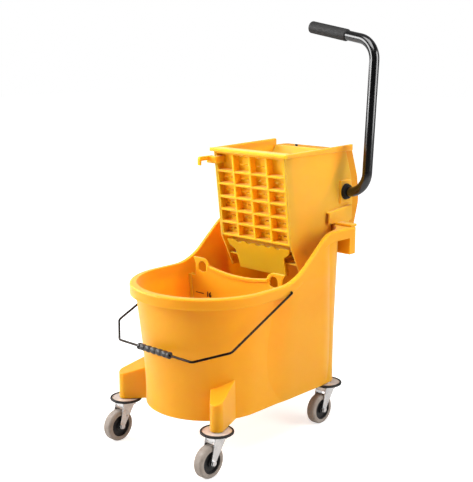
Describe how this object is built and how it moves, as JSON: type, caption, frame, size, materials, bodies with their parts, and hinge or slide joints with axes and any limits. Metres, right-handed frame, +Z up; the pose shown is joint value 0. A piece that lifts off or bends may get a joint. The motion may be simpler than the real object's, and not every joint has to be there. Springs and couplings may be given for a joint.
{
  "type": "mop bucket with side-press wringer",
  "caption": "Wheeled mop bucket with a rounded front, lift-out divider, wire bail and a lever-driven side-press wringer hooked on its raised rear rim.",
  "frame": {"origin": "on the floor, midway between the front and rear caster stems, on the tub's mid-plane", "axes": "+X towards the wringer and the rear, +Y towards the side away from the lever, +Z up"},
  "size_m": [0.6484, 0.3911, 1.0071],
  "materials": {
    "tub_plastic": "moulded polypropylene, satin",
    "wringer_plastic": "moulded polypropylene, satin",
    "grille_plastic": "moulded polypropylene, satin",
    "apron_plastic": "moulded polypropylene, satin",
    "cover_plastic": "moulded polypropylene, satin",
    "plate_plastic": "moulded polypropylene, satin",
    "divider_plastic": "moulded polypropylene, satin",
    "hook_plastic": "moulded polypropylene, satin",
    "socket_plastic": "moulded nylon",
    "bush_plastic": "moulded nylon",
    "gear_plastic": "moulded nylon",
    "collar_plastic": "moulded nylon",
    "stop_rubber": "soft black rubber",
    "zinc_steel": "zinc plated",
    "fork_steel": "zinc plated, pressed",
    "bumper_steel": "zinc plated, pressed",
    "bumper_rubber": "matt black rubber",
    "hub_plastic": "black moulded nylon",
    "tread_rubber": "non-marking grey rubber",
    "bail_steel": "dark plated wire",
    "bail_grip": "dark moulded plastic",
    "lever_paint": "gloss black powder coat",
    "lever_grip": "matt black foam rubber"
  },
  "bodies": {
    "tub": {"tub": "tub_plastic", "caster_sockets": "socket_plastic", "caster_stems": "zinc_steel", "bumper_plates": "bumper_steel", "bumper_rings": "bumper_rubber"},
    "divider": {"divider": "divider_plastic"},
    "bail": {"bail_wire": "bail_steel", "bail_grip": "bail_grip"},
    "wringer": {"wringer_wall_near": "wringer_plastic", "wringer_wall_far": "wringer_plastic", "front_grille": "grille_plastic", "drip_apron": "apron_plastic", "rear_cover": "cover_plastic", "cover_stop": "stop_rubber", "mop_hook": "hook_plastic", "hinge_rod": "zinc_steel", "shaft_bush_near": "bush_plastic", "shaft_bush_far": "bush_plastic"},
    "press_plate": {"press_plate": "plate_plastic"},
    "lever": {"lever_shaft": "zinc_steel", "pinion_near": "gear_plastic", "pinion_far": "gear_plastic", "pinion_pins": "zinc_steel", "retaining_ring": "zinc_steel", "lever_tube": "lever_paint", "lever_collar": "collar_plastic", "lever_grip": "lever_grip", "lever_bolt": "zinc_steel"},
    "caster_front_near": {"fork_front_near": "fork_steel", "axle_front_near": "zinc_steel"},
    "wheel_front_near": {"wheel_hub_front_near": "hub_plastic", "wheel_tread_front_near": "tread_rubber"},
    "caster_front_far": {"fork_front_far": "fork_steel", "axle_front_far": "zinc_steel"},
    "wheel_front_far": {"wheel_hub_front_far": "hub_plastic", "wheel_tread_front_far": "tread_rubber"},
    "caster_rear_near": {"fork_rear_near": "fork_steel", "axle_rear_near": "zinc_steel"},
    "wheel_rear_near": {"wheel_hub_rear_near": "hub_plastic", "wheel_tread_rear_near": "tread_rubber"},
    "caster_rear_far": {"fork_rear_far": "fork_steel", "axle_rear_far": "zinc_steel"},
    "wheel_rear_far": {"wheel_hub_rear_far": "hub_plastic", "wheel_tread_rear_far": "tread_rubber"}
  },
  "joints": [
    {"name": "divider_lift", "type": "slide", "parent": "tub", "child": "divider", "axis": [0, 0, 1], "range_m": [0, 0.225]},
    {"name": "bail_swing", "type": "hinge", "parent": "tub", "child": "bail", "pos_m": [0.0127, 0, 0.3847], "axis": [0, 1, 0], "range_deg": [0, 112]},
    {"name": "wringer_lift", "type": "slide", "parent": "tub", "child": "wringer", "axis": [0, 0, 1], "range_m": [0, 0.15]},
    {"name": "lever_swing", "type": "hinge", "parent": "wringer", "child": "lever", "pos_m": [0.297, 0, 0.584], "axis": [0, 1, 0], "range_deg": [0, 92]},
    {"name": "plate_swing", "type": "hinge", "parent": "wringer", "child": "press_plate", "pos_m": [0.14536, 0, 0.44746], "axis": [0, 1, 0], "range_deg": [-16, 0]},
    {"name": "swivel_front_near", "type": "hinge", "parent": "tub", "child": "caster_front_near", "pos_m": [-0.2106, -0.1552, 0.09], "axis": [0, 0, 1], "continuous": true},
    {"name": "roll_front_near", "type": "hinge", "parent": "caster_front_near", "child": "wheel_front_near", "pos_m": [-0.2383, -0.1552, 0.038], "axis": [0, 1, 0], "continuous": true},
    {"name": "swivel_front_far", "type": "hinge", "parent": "tub", "child": "caster_front_far", "pos_m": [-0.2106, 0.1552, 0.09], "axis": [0, 0, 1], "continuous": true},
    {"name": "roll_front_far", "type": "hinge", "parent": "caster_front_far", "child": "wheel_front_far", "pos_m": [-0.2383, 0.1552, 0.038], "axis": [0, 1, 0], "continuous": true},
    {"name": "swivel_rear_near", "type": "hinge", "parent": "tub", "child": "caster_rear_near", "pos_m": [0.2106, -0.138, 0.09], "axis": [0, 0, 1], "continuous": true},
    {"name": "roll_rear_near", "type": "hinge", "parent": "caster_rear_near", "child": "wheel_rear_near", "pos_m": [0.1829, -0.138, 0.038], "axis": [0, 1, 0], "continuous": true},
    {"name": "swivel_rear_far", "type": "hinge", "parent": "tub", "child": "caster_rear_far", "pos_m": [0.2106, 0.138, 0.09], "axis": [0, 0, 1], "continuous": true},
    {"name": "roll_rear_far", "type": "hinge", "parent": "caster_rear_far", "child": "wheel_rear_far", "pos_m": [0.1829, 0.138, 0.038], "axis": [0, 1, 0], "continuous": true}
  ],
  "couplings": [
    {"joint": "plate_swing", "follows": "lever_swing", "ratio": -0.17241}
  ]
}
